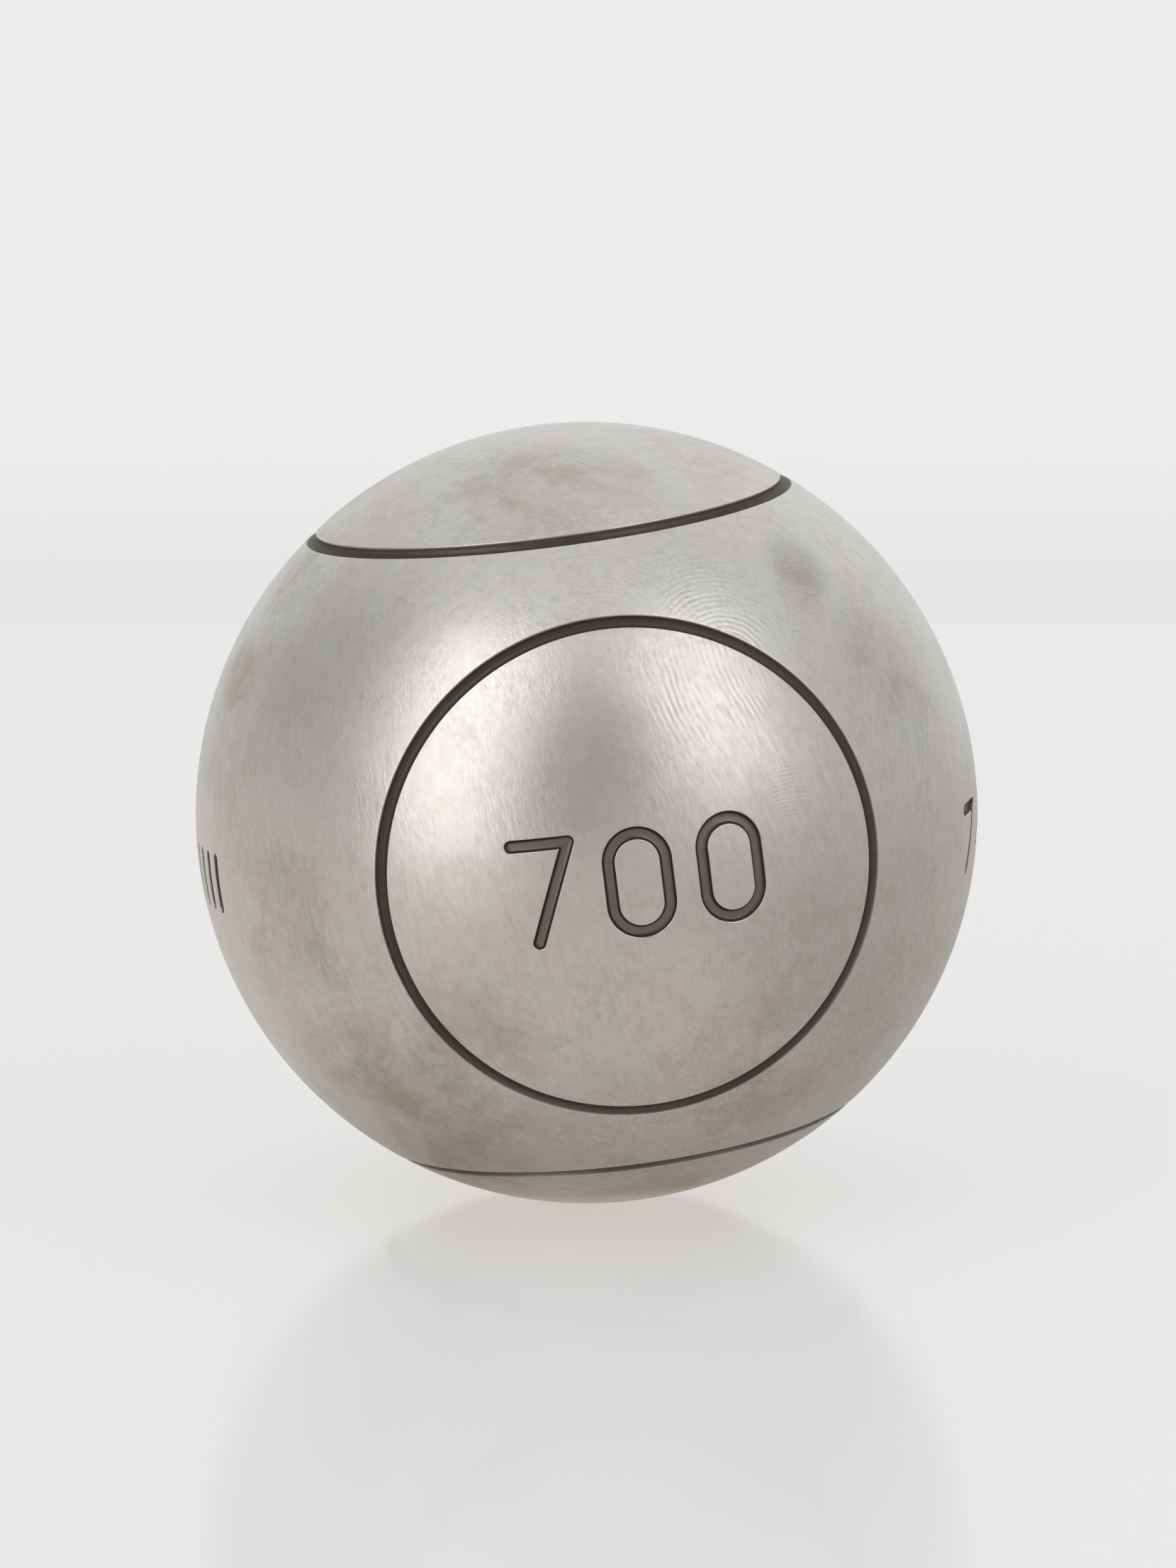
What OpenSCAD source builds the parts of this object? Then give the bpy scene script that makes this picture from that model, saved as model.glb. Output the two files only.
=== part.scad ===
// Petanque boule: a hollow steel ball made of two half shells and the weld between them.
// The front faces -Y, the weld lies in the plane of X and Z, and the origin is the ball's centre.

/* [Ball] */
// Outside diameter of the ball
ball_d = 74; // [70.5:0.5:80]
// Thickness of the steel wall
wall = 6.15; // [5:0.05:7.5]

/* [Weld] */
// Gap between the two rims at the root of the weld
root_gap = 1.2; // [0.6:0.1:2]
// Depth of the square nose that each rim keeps below its bevel
rim_nose = 1.5; // [0.8:0.1:2.5]
// Slope of each rim's bevel, from the plane of the weld
bevel_angle = 30; // [20:1:40]
// Width of the bead that stands proud inside the ball
root_bead_w = 4; // [3:0.1:6]
// Height of the bead that stands proud inside the ball
root_bead_h = 0.9; // [0.5:0.1:1.4]

/* [Engraved circles] */
// Diameter of each circle, straight across its channel's middle
circle_d = 45; // [38:0.5:47]
// Width of the channel at the surface
channel_w = 1.25; // [0.8:0.05:1.8]
// Depth of the channel
channel_depth = 0.6; // [0.3:0.05:0.8]
// Angle by which the whole pattern leans to the left
pattern_lean = 7.1; // [0:0.1:45]

/* [Engraved marks] */
// Width of a stroke at the surface
stroke_w = 1.15; // [0.7:0.05:1.4]
// Depth of a stroke
stroke_depth = 0.45; // [0.25:0.05:0.7]
// Height of the weight figures in the front circle
weight_h = 9; // [6:0.5:11]
// Width of one weight figure
weight_w = 5.2; // [4:0.1:6]
// Distance between the middles of two weight figures
weight_pitch = 8.6; // [8:0.1:10]
// Height of the small figures on the right
small_h = 5.8; // [5:0.1:8]
// Width of one small figure
small_w = 3.6; // [3.2:0.1:4.4]
// Distance between the middles of the small figures
small_pitch = 6; // [6:0.1:7]
// Distance of the small figures' middle from the right pole, towards the front
small_ahead = 11.2; // [8:0.1:13]
// Distance of the small figures' middle below the right pole
small_drop = 5; // [0:0.1:8]
// Number of upright bars on the left
bar_count = 8; // [2:1:9]
// Height of the bars
bar_h = 5.7; // [4:0.1:8]
// Distance between the middles of two bars
bar_pitch = 2.5; // [2.2:0.05:2.6]

/* [Edges] */
// Size of the bevel that breaks each engraved edge
edge_break = 0.1; // [0.05:0.01:0.15]

/* [Hidden] */
$fn = 96;
// How far the cuts reach past the surface, and the turn between two points of an outline's arc
overrun = 0.3;
arc_step = 22.5;
ball_r = ball_d / 2;
hollow_r = ball_r - wall;
circle_reach = asin(circle_d / ball_d);
// The ball's weight in grams and its diameter in millimetres, as engraved
weight_figures = [7, 0, 0];
diameter_figures = [7, 4];
// Places in a figure, as shares of its width from the left or of its height from the foot
seven_foot_share = 0.3;
four_peak_share = 0.6;
four_bar_share = 0.28;
four_stem_share = 0.74;
four_stem_top_share = 0.56;

// Degrees that a length along the surface spans, seen from the centre
function span(length) = length / ball_r * 180 / PI;

// Section of a ball-nosed cutter and the bevel over it: across is X, outwards is Y, the surface is at 0
module cutter() {
    nose_r = (channel_w * channel_w / 4 + channel_depth * channel_depth) / (2 * channel_depth);
    nose_y = nose_r - channel_depth;
    mouth_x = sqrt(nose_r * nose_r - pow(nose_y + edge_break, 2));
    lip_x = mouth_x + edge_break + overrun;
    translate([0, nose_y]) circle(r = nose_r);
    polygon([[-mouth_x, -edge_break], [mouth_x, -edge_break], [lip_x, overrun], [-lip_x, overrun]]);
}

// Channel along a circle about +Z
module channel() {
    rotate_extrude() rotate(90 - circle_reach) translate([ball_r, 0]) rotate(-90) cutter();
}

// Points of the arc that a stroke's edge makes about a centre
function arc(centre, from, to) = let (steps = ceil(abs(to - from) / arc_step)) [
    for (i = [0:steps]) let (angle = from + (to - from) * i / steps)
        centre + stroke_w / 2 * [cos(angle), sin(angle)]
];

// Outline that a round cutter makes from start over bend to end
module bent_stroke(start, bend, end) {
    first = bend - start;
    second = end - bend;
    heading = atan2(first.y, first.x);
    turn = atan2(cross(first, second), first * second);
    inner = 90 * sign(turn);
    inner_angle = heading + inner + turn / 2;
    inner_corner = bend + stroke_w / 2 / cos(turn / 2) * [cos(inner_angle), sin(inner_angle)];
    polygon(concat(
        arc(start, heading + inner, heading + 3 * inner),
        arc(bend, heading - inner, heading + turn - inner),
        arc(end, heading + turn - inner, heading + turn + inner),
        [inner_corner]
    ));
}

// Upright outline with straight sides and round ends
module pill(w, h) {
    square([w, h - w], center = true);
    for (y = [w - h, h - w]) translate([0, y / 2]) circle(r = w / 2);
}

// Outlines of the figures, centred, with the given width and height between the strokes' middles
module zero(w, h) {
    difference() {
        pill(w + stroke_w, h + stroke_w);
        pill(w - stroke_w, h - stroke_w);
    }
}

module four(w, h) {
    bar_y = (four_bar_share - 0.5) * h;
    bent_stroke([(four_peak_share - 0.5) * w, h / 2], [-w / 2, bar_y], [w / 2, bar_y]);
    translate([(four_stem_share - 0.5) * w, (four_stem_top_share - 1) * h / 2])
        pill(stroke_w, four_stem_top_share * h + stroke_w);
}

module seven(w, h) {
    bent_stroke([-w / 2, h / 2], [w / 2, h / 2], [(seven_foot_share - 0.5) * w, -h / 2]);
}

module figure(number, w, h) {
    if (number == 0) zero(w, h);
    if (number == 4) four(w, h);
    if (number == 7) seven(w, h);
}

// Cut of a stroke's depth that an outline makes in the ball's front
module sunk() {
    difference() {
        rotate([90, 0, 0]) linear_extrude(ball_r + overrun) children();
        sphere(r = ball_r - stroke_depth);
    }
}

// Row of figures, centred on the front
module figures(numbers, w, h, pitch) {
    for (i = [0:len(numbers) - 1])
        rotate(span((i - (len(numbers) - 1) / 2) * pitch)) sunk() figure(numbers[i], w, h);
}

// Row of upright bars, centred on the front
module bars() {
    for (i = [0:bar_count - 1])
        rotate(span((i - (bar_count - 1) / 2) * bar_pitch)) sunk() pill(stroke_w, bar_h);
}

// Everything that is cut into the finished ball
module engraving() {
    rotate([0, -pattern_lean, 0]) {
        for (turn = [0:90:270]) rotate([turn, 0, 0]) channel();
        figures(weight_figures, weight_w, weight_h, weight_pitch);
        rotate(-90) bars();
        rotate(90 - span(small_ahead)) rotate([span(small_drop), 0, 0])
            figures(diameter_figures, small_w, small_h, small_pitch);
    }
}

// Section of the wall through the ball's centre: X lies in the weld's plane, Y along its axis
module wall_section() {
    difference() {
        circle(r = ball_r);
        circle(r = hollow_r);
    }
}

// Section of the groove that the two rims leave between them, on one side of the axis
module weld_section() {
    nose_r = hollow_r + rim_nose;
    top_r = ball_r + overrun;
    root_y = root_gap / 2;
    top_y = root_y + (top_r - nose_r) * tan(bevel_angle);
    foot_r = hollow_r - root_bead_h / 2;
    polygon([
        [foot_r, -root_y], [nose_r, -root_y], [top_r, -top_y],
        [top_r, top_y], [nose_r, root_y], [foot_r, root_y]
    ]);
}

// Section of the bead inside the ball: the lens between the hollow and the bead's own round face
module root_bead_section() {
    face_r = (root_bead_w * root_bead_w / 4 + root_bead_h * root_bead_h) / (2 * root_bead_h);
    intersection() {
        circle(r = hollow_r);
        translate([hollow_r - root_bead_h + face_r, 0]) circle(r = face_r);
    }
}

// Half shell with its bevelled rim, before it is engraved, facing -Y
module blank_shell() {
    rotate([90, 0, 0]) rotate_extrude() difference() {
        intersection() {
            wall_section();
            square([ball_d, ball_d]);
        }
        weld_section();
    }
}

module front_half_shell() {
    color("silver") difference() {
        blank_shell();
        engraving();
    }
}

module back_half_shell() {
    color("darkgray") difference() {
        rotate(180) blank_shell();
        engraving();
    }
}

module weld_bead() {
    color("gray") difference() {
        rotate([90, 0, 0]) rotate_extrude() {
            intersection() {
                wall_section();
                weld_section();
            }
            root_bead_section();
        }
        engraving();
    }
}

front_half_shell();
back_half_shell();
weld_bead();
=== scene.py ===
"""Petanque boule: the engraved satin steel shells and their weld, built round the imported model."""
from math import acos, asin, atan2, ceil, cos, pi, radians, sin, sqrt

import bmesh
import bpy
import numpy as np
from bpy.props import FloatProperty, FloatVectorProperty, IntProperty, PointerProperty
from mathutils import Matrix, Vector
from mathutils.geometry import delaunay_2d_cdt


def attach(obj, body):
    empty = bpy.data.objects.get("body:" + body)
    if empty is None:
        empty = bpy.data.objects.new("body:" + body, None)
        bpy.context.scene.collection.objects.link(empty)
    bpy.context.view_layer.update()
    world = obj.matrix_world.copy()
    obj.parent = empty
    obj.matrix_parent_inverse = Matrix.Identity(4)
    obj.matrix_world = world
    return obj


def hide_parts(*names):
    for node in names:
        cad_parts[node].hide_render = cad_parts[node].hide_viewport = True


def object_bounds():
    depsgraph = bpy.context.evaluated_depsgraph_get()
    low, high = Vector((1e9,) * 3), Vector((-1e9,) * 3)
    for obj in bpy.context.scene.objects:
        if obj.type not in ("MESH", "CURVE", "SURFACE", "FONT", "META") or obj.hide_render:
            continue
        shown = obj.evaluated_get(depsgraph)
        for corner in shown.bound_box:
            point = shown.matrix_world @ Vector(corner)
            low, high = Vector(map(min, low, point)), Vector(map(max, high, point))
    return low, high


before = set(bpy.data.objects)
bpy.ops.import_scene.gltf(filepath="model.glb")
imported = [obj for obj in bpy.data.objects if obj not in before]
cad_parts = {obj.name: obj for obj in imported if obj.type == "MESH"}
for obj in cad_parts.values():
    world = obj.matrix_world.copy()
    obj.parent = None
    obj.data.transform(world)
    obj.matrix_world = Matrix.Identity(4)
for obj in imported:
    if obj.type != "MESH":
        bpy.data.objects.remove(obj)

CAD_BOX = [list(corner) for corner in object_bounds()]

bl_info = {
    "name": "Petanque Boule",
    "version": (1, 0, 0),
    "blender": (4, 5, 0),
    "location": "3D View > Sidebar > Boule",
    "description": "Builds an engraved steel boule, its finish and a small studio",
    "category": "Add Mesh",
}

MM = 0.001
PER_MM = 1000.0


def packed_points(node):
    """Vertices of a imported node, one row each."""
    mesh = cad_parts[node].data
    points = np.empty(len(mesh.vertices) * 3, np.float32)
    mesh.vertices.foreach_get("co", points)
    return points.reshape(-1, 3).astype(float)


def axis_distance(points):
    """Distance of each point from the weld's axis, which is Y."""
    return np.hypot(points[:, 0], points[:, 2])


def centre_distance(points):
    return np.linalg.norm(points, axis=1)


def direction_of(turn, rise):
    """Unit vector at a turn from the front to the right and a rise above the horizon."""
    return Vector((sin(turn) * cos(rise), -cos(turn) * cos(rise), sin(rise)))


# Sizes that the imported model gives, and how near to a face its points are counted as lying on it
MATCH_TOLERANCE = 0.002 * MM
SHELL_POINTS = packed_points("front_half_shell")
WELD_POINTS = packed_points("weld_bead")
BALL_RADIUS = CAD_BOX[1][1]
HOLLOW_RADIUS = centre_distance(SHELL_POINTS).min()
ROOT_HALF_GAP = -SHELL_POINTS[:, 1].max()
RIM_POINTS = SHELL_POINTS[SHELL_POINTS[:, 1] > -ROOT_HALF_GAP - MATCH_TOLERANCE]
NOSE_RADIUS = axis_distance(RIM_POINTS).max()
WELD_HALF_WIDTH = abs(WELD_POINTS[:, 1]).max()
BEAD_FACE_RADIUS = axis_distance(WELD_POINTS).min()
BEAD_POINTS = WELD_POINTS[centre_distance(WELD_POINTS) < HOLLOW_RADIUS + MATCH_TOLERANCE]
BEAD_HALF_WIDTH = abs(BEAD_POINTS[:, 1]).max()


def length(name, description, millimetres):
    return FloatProperty(name=name, description=description, default=millimetres * MM, min=0, unit="LENGTH")


def colour(name, description, value):
    return FloatVectorProperty(
        name=name, description=description, default=value, min=0, max=1, subtype="COLOR")


def share(name, description, value):
    return FloatProperty(name=name, description=description, default=value, min=0, max=1, subtype="FACTOR")


def power(name, description, value):
    return FloatProperty(name=name, description=description, default=value, min=0, unit="POWER")


class BouleSizes(bpy.types.PropertyGroup):
    """Sizes of the engraving."""

    circle_diameter: length("Circle diameter", "Each circle, straight across its channel's middle", 45)
    channel_width: length("Channel width", "Width of a circle's channel at the surface", 1.25)
    channel_depth: length("Channel depth", "Depth of a circle's channel", 0.6)
    pattern_lean: FloatProperty(
        name="Pattern lean", description="Angle by which the whole pattern leans to the left",
        default=radians(7.1), subtype="ANGLE")
    stroke_width: length("Stroke width", "Width of a figure's stroke at the surface", 1.15)
    stroke_depth: length("Stroke depth", "Depth of a figure's stroke", 0.45)
    weight_height: length("Weight height", "Height of the figures in the front circle", 9)
    weight_width: length("Weight figure width", "Width of one figure in the front circle", 5.2)
    weight_pitch: length("Weight pitch", "Distance between two figures in the front circle", 8.6)
    small_height: length("Small height", "Height of the small figures on the right", 5.8)
    small_width: length("Small figure width", "Width of one small figure", 3.6)
    small_pitch: length("Small pitch", "Distance between the small figures", 6)
    small_ahead: length("Small figures ahead", "Their distance from the right pole, towards the front", 11.2)
    small_drop: length("Small figures drop", "Their distance below the right pole", 5)
    bar_count: IntProperty(name="Bars", description="Number of upright bars on the left", default=8, min=1)
    bar_height: length("Bar height", "Height of the bars, round ends included", 5.7)
    bar_pitch: length("Bar pitch", "Distance between two bars", 2.5)
    lip: length("Lip", "How far the rounding of an engraved edge reaches", 0.3)


class BouleColours(bpy.types.PropertyGroup):
    """Colours and roughness of the finishes."""

    steel: colour("Steel", "Clean satin steel", (0.624, 0.61, 0.59))
    stain: colour("Stain", "Brownish clouds on the steel", (0.465, 0.41, 0.362))
    olive: colour("Olive stain", "Grey-green clouds on the steel", (0.43, 0.412, 0.358))
    grease: colour("Grease", "Grey grease spots on the steel", (0.415, 0.4, 0.368))
    oxide: colour("Oxide", "Dark floor of the engraving", (0.014, 0.01, 0.007))
    grime: colour("Grime", "Brownish dirt on the floor of the engraving", (0.05, 0.037, 0.025))
    raw: colour("Raw steel", "Blue-grey scale inside the hollow", (0.16, 0.165, 0.18))
    roughness: share("Roughness", "Roughness of the satin steel", 0.34)


class BouleStudio(bpy.types.PropertyGroup):
    """Levels of the studio."""

    table: colour("Table", "Share of the lamps' light that the table sends back", (0.2, 0.2, 0.198))
    table_glow: colour("Table glow", "Pale light that shows through the table", (0.63, 0.63, 0.627))
    backdrop: colour("Backdrop", "Pale backdrop", (0.843, 0.843, 0.84))
    left_power: power("Left lamp", "Power of the left softbox", 2.83)
    right_power: power("Right lamp", "Power of the right softbox", 1.3)


class Term:
    """A socket in a node tree. Arithmetic on it adds the Math nodes."""

    def __init__(self, graph, socket):
        self.graph = graph
        self.socket = socket

    def __add__(self, other):
        return self.graph.math("ADD", self, other)

    def __radd__(self, other):
        return self.graph.math("ADD", other, self)

    def __sub__(self, other):
        return self.graph.math("SUBTRACT", self, other)

    def __rsub__(self, other):
        return self.graph.math("SUBTRACT", other, self)

    def __mul__(self, other):
        return self.graph.math("MULTIPLY", self, other)

    def __rmul__(self, other):
        return self.graph.math("MULTIPLY", other, self)

    def __truediv__(self, other):
        return self.graph.math("DIVIDE", self, other)

    def __pow__(self, other):
        return self.graph.math("POWER", self, other)


class Graph:
    """Adds nodes to a tree."""

    def __init__(self, tree):
        self.tree = tree

    def node(self, kind, settings=None, sockets=None, output=0):
        """A node of a kind, with its settings, and the values or links of its sockets."""
        made = self.tree.nodes.new(kind)
        for name, value in (settings or {}).items():
            setattr(made, name, value)
        for name, value in (sockets or {}).items():
            if isinstance(value, Term):
                self.tree.links.new(value.socket, made.inputs[name])
            else:
                made.inputs[name].default_value = value
        return Term(self, made.outputs[output]) if len(made.outputs) else made

    def math(self, operation, *values):
        return self.node("ShaderNodeMath", {"operation": operation}, dict(enumerate(values)))

    def vector(self, operation, *values, output=0):
        return self.node("ShaderNodeVectorMath", {"operation": operation}, dict(enumerate(values)), output)

    def scaled(self, vector, factor):
        return self.node("ShaderNodeVectorMath", {"operation": "SCALE"}, {"Vector": vector, "Scale": factor})

    def distance(self, first, second):
        return self.vector("DISTANCE", first, second, output="Value")

    def ease(self, value, low, high, to_low=0.0, to_high=1.0):
        """Value eased from to_low at low to to_high at high."""
        return self.node("ShaderNodeMapRange", {"interpolation_type": "SMOOTHSTEP"}, {
            "Value": value, "From Min": low, "From Max": high, "To Min": to_low, "To Max": to_high})

    def blend(self, factor, first, second, kind="MIX"):
        """Second colour laid over the first."""
        factor_socket, first_socket, second_socket, result_socket = 0, 6, 7, 2
        return self.node("ShaderNodeMix", {"data_type": "RGBA", "blend_type": kind}, {
            factor_socket: factor, first_socket: first, second_socket: second}, result_socket)

    def noise(self, place, scale, detail, rough=0.5, output=0):
        return self.node("ShaderNodeTexNoise", None, {
            "Vector": place, "Scale": scale, "Detail": detail, "Roughness": rough}, output)

    def attribute(self, name):
        return self.node("ShaderNodeAttribute", {"attribute_name": name}, None, "Fac")

    def part(self, vector, axis):
        return self.node("ShaderNodeSeparateXYZ", None, {0: vector}, axis)


def emptied_graph(owner):
    """Graph of a new material or world, without the nodes that it starts with."""
    owner.use_nodes = True
    owner.node_tree.nodes.clear()
    return Graph(owner.node_tree)


# Engraving: the paths of the strokes

# Places in a figure, as shares of its width from the left or of its height from the foot
SEVEN_FOOT_SHARE = 0.3
FOUR_PEAK_SHARE = 0.6
FOUR_BAR_SHARE = 0.28
FOUR_STEM_SHARE = 0.74
FOUR_STEM_TOP_SHARE = 0.56

WEIGHT_FIGURES = (7, 0, 0)
DIAMETER_FIGURES = (7, 4)
PATH_STEP = 0.22 * MM

# Ends and sharper bends than this have a full round of contour points
SHARP_BEND = radians(25)
ROUND_STEPS = 20

# Share of its own distance that a contour point keeps from every path of its figure
CONTOUR_CLEARANCE = 0.975


def zero_path(width, height):
    """Closed path of a zero: two half circles and the straight runs between them."""
    turns = np.linspace(0, pi, ceil(pi * width / 2 / PATH_STEP) + 1)
    arch = np.column_stack([np.cos(turns), np.sin(turns)]) * width / 2
    rise = [0, (height - width) / 2]
    return np.vstack([arch + rise, -arch - rise, arch[:1] + rise])


def seven_path(width, height):
    return np.array([[-width / 2, height / 2], [width / 2, height / 2],
                     [(SEVEN_FOOT_SHARE - 0.5) * width, -height / 2]])


def four_paths(width, height):
    bar = (FOUR_BAR_SHARE - 0.5) * height
    stem = (FOUR_STEM_SHARE - 0.5) * width
    stem_top = (FOUR_STEM_TOP_SHARE - 0.5) * height
    return [np.array([[(FOUR_PEAK_SHARE - 0.5) * width, height / 2], [-width / 2, bar], [width / 2, bar]]),
            np.array([[stem, stem_top], [stem, -height / 2]])]


def figure_paths(number, width, height):
    """Middle lines of a figure's strokes, in its own plane."""
    if number == 0:
        return [zero_path(width, height)]
    if number == 4:
        return four_paths(width, height)
    return [seven_path(width, height)]


def even_steps(path):
    """The same path with points at even steps between its corners."""
    points = [path[:1]]
    for start, end in zip(path[:-1], path[1:]):
        count = max(1, ceil(np.linalg.norm(end - start) / PATH_STEP))
        points.append(start + (end - start) * np.arange(1, count + 1)[:, None] / count)
    return np.vstack(points)


def marks(sizes):
    """Every figure and bar: its stroke paths and the turn that takes it from the front to its place."""
    lean = Matrix.Rotation(-sizes.pattern_lean, 3, "Y")

    def about_z(surface_length):
        return Matrix.Rotation(surface_length / BALL_RADIUS, 3, "Z")

    def row(count, pitch):
        return [(i - (count - 1) / 2) * pitch for i in range(count)]

    quarter = pi / 2 * BALL_RADIUS
    drop = Matrix.Rotation(sizes.small_drop / BALL_RADIUS, 3, "X")
    small_place = about_z(quarter - sizes.small_ahead) @ drop
    bar_half = (sizes.bar_height - sizes.stroke_width) / 2
    found = []
    for number, place in zip(WEIGHT_FIGURES, row(len(WEIGHT_FIGURES), sizes.weight_pitch)):
        found.append((figure_paths(number, sizes.weight_width, sizes.weight_height), lean @ about_z(place)))
    for number, place in zip(DIAMETER_FIGURES, row(len(DIAMETER_FIGURES), sizes.small_pitch)):
        paths = figure_paths(number, sizes.small_width, sizes.small_height)
        found.append((paths, lean @ small_place @ about_z(place)))
    for place in row(sizes.bar_count, sizes.bar_pitch):
        found.append(([np.array([[0, -bar_half], [0, bar_half]])], lean @ about_z(place - quarter)))
    return [([even_steps(path) for path in paths], np.array(turn)) for paths, turn in found]


def onto_ball(flat, turn):
    """Points of a figure's plane carried straight onto the ball's front, and turned to their place."""
    depth = np.sqrt(BALL_RADIUS ** 2 - (flat ** 2).sum(1))
    return np.column_stack([flat[:, 0], -depth, flat[:, 1]]) @ turn.T


def distance_to_paths(points, paths):
    """Least distance of flat points from the paths."""
    least = np.full(len(points), np.inf)
    for path in paths:
        for start, end in zip(path[:-1], path[1:]):
            run = end - start
            along = np.clip((points - start) @ run / (run @ run), 0, 1)
            least = np.minimum(least, np.linalg.norm(points - start - along[:, None] * run, axis=1))
    return least


def ways_across(path):
    """Directions from each point of a path to its contours: both sides, or a full round where it turns."""
    closed = np.linalg.norm(path[0] - path[-1]) < PATH_STEP / 2
    before = np.roll(path, 1, axis=0)
    after = np.roll(path, -1, axis=0)
    if closed:
        before[0], after[-1] = path[-2], path[1]
    for i, (way_in, way_out) in enumerate(zip(path - before, after - path)):
        bend = abs(atan2(way_in[0] * way_out[1] - way_in[1] * way_out[0], way_in @ way_out))
        if not closed and i in (0, len(path) - 1) or bend > SHARP_BEND:
            straight = way_out if i == 0 else way_in
            first = atan2(straight[1], straight[0]) + pi / 2
            turns = first + np.arange(ROUND_STEPS) * 2 * pi / ROUND_STEPS
        else:
            middle = atan2(way_in[1] + way_out[1], way_in[0] + way_out[0])
            turns = np.array([middle - pi / 2, middle + pi / 2])
        yield np.column_stack([np.cos(turns), np.sin(turns)])


def path_contours(paths, offsets):
    """Points of a figure's paths, and those at set distances from them, in line across the stroke."""
    points, distances = [], []
    for path in paths:
        for point, ways in zip(path, ways_across(path)):
            for offset in offsets:
                points.append(point + ways * offset)
                distances += [offset] * len(ways)
    points = np.vstack(points)
    clear = distance_to_paths(points, paths) > CONTOUR_CLEARANCE * np.array(distances)
    return np.vstack([*paths, points[clear]])


# Engraving: the points and triangles of the skin

# Distances from the middle of a channel or stroke at which the skin has points, as shares of its half width
CHANNEL_SHARES = (0.0, 0.25, 0.48, 0.66, 0.8, 0.89, 0.96, 1.03, 1.1, 1.18, 1.3, 1.6)
STROKE_SHARES = (0.3, 0.55, 0.7, 0.82, 0.91, 0.98, 1.05, 1.13, 1.24, 1.5)

# Distances between points along the channels, along the weld's borders and on the plain skin, and the least
# gap that the plain skin's points keep from the others
CHANNEL_STEP = 0.6 * MM
BORDER_STEP = 0.6 * MM
FILL_STEP = 1.0 * MM
FILL_GAP = 0.45 * MM

# The back pole can't be laid out flat, so a small cap closes the skin there
CAP_RADIUS = 0.6 * MM
CAP_COUNT = 8
CAP_SEARCH_SHARE = 1.1

# Points nearer than this in the flat layout, where the front half has a radius of 1, are merged
MERGE_DISTANCE = 2.5e-4


def ring_about(axis, reach, count):
    """Directions evenly round an axis, at an angle from it."""
    axis = np.array(axis, float)
    mostly_upright = abs(axis[2]) > sqrt(0.5)
    side = np.cross(axis, [0, 1, 0] if mostly_upright else [0, 0, 1])
    side /= np.linalg.norm(side)
    up = np.cross(axis, side)
    turns = np.arange(count)[:, None] * 2 * pi / count
    return cos(reach) * axis + sin(reach) * (np.cos(turns) * side + np.sin(turns) * up)


def even_directions(step):
    """Directions spread evenly over a sphere, about one step apart, along a spiral."""
    golden_turn = pi * (3 - sqrt(5))
    count = round(4 * pi * BALL_RADIUS ** 2 / step ** 2)
    index = np.arange(count)
    turns = golden_turn * index
    height = 1 - (2 * index + 1) / count
    across = np.sqrt(1 - height ** 2)
    return np.column_stack([across * np.cos(turns), across * np.sin(turns), height])


def circle_axes(sizes):
    """Axes of the four circles: front, back, and the leaned top and bottom."""
    lean = sizes.pattern_lean
    return [(0, -1, 0), (0, 1, 0), (-sin(lean), 0, cos(lean)), (sin(lean), 0, -cos(lean))]


def flatten(directions):
    """Directions laid out in a plane, as seen from the back pole."""
    return directions[:, [0, 2]] / (1 - directions[:, 1:2])


def unflatten(flat):
    """The directions that points of that plane stand for."""
    square = (flat ** 2).sum(1)
    return np.column_stack([2 * flat[:, 0], square - 1, 2 * flat[:, 1]]) / (square + 1)[:, None]


def circle_reach(sizes):
    """Angle from a circle's axis to the middle of its channel."""
    return asin(sizes.circle_diameter / 2 / BALL_RADIUS)


def skin_rings(sizes):
    """Rings of directions along the channels and the weld's borders, and one round the back pole."""
    half_channel = sizes.channel_width / 2
    count = round(pi * sizes.circle_diameter / CHANNEL_STEP)
    offsets = sorted({side * value * half_channel for value in CHANNEL_SHARES for side in (-1, 1)})
    rings = [ring_about(axis, circle_reach(sizes) + offset / BALL_RADIUS, count)
             for axis in circle_axes(sizes) for offset in offsets]
    border_count = round(2 * pi * BALL_RADIUS / BORDER_STEP)
    for side in (-1, 1):
        rings.append(ring_about((0, side, 0), acos(WELD_HALF_WIDTH / BALL_RADIUS), border_count))
    rings.append(ring_about((0, 1, 0), CAP_RADIUS / BALL_RADIUS, CAP_COUNT))
    return rings


def fill_directions(sizes):
    """Directions spread over the plain skin, clear of the rings and of every stroke."""
    fill = even_directions(FILL_STEP)
    channel_clearance = CHANNEL_SHARES[-1] * sizes.channel_width / 2 + FILL_GAP
    stroke_clearance = STROKE_SHARES[-1] * sizes.stroke_width / 2 + FILL_GAP
    clear = abs(abs(fill[:, 1]) * BALL_RADIUS - WELD_HALF_WIDTH) > FILL_GAP
    clear &= np.arccos(np.clip(fill[:, 1], -1, 1)) * BALL_RADIUS > CAP_RADIUS + FILL_GAP
    for axis in circle_axes(sizes):
        from_axis = np.arccos(np.clip(fill @ np.array(axis), -1, 1))
        clear &= abs(from_axis - circle_reach(sizes)) * BALL_RADIUS > channel_clearance
    for paths, turn in marks(sizes):
        own = fill @ turn * BALL_RADIUS
        behind = own[:, 1] >= 0
        apart = distance_to_paths(own[:, [0, 2]], [path[::2] for path in paths])
        clear &= behind | (apart > stroke_clearance)
    return fill[clear]


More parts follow.
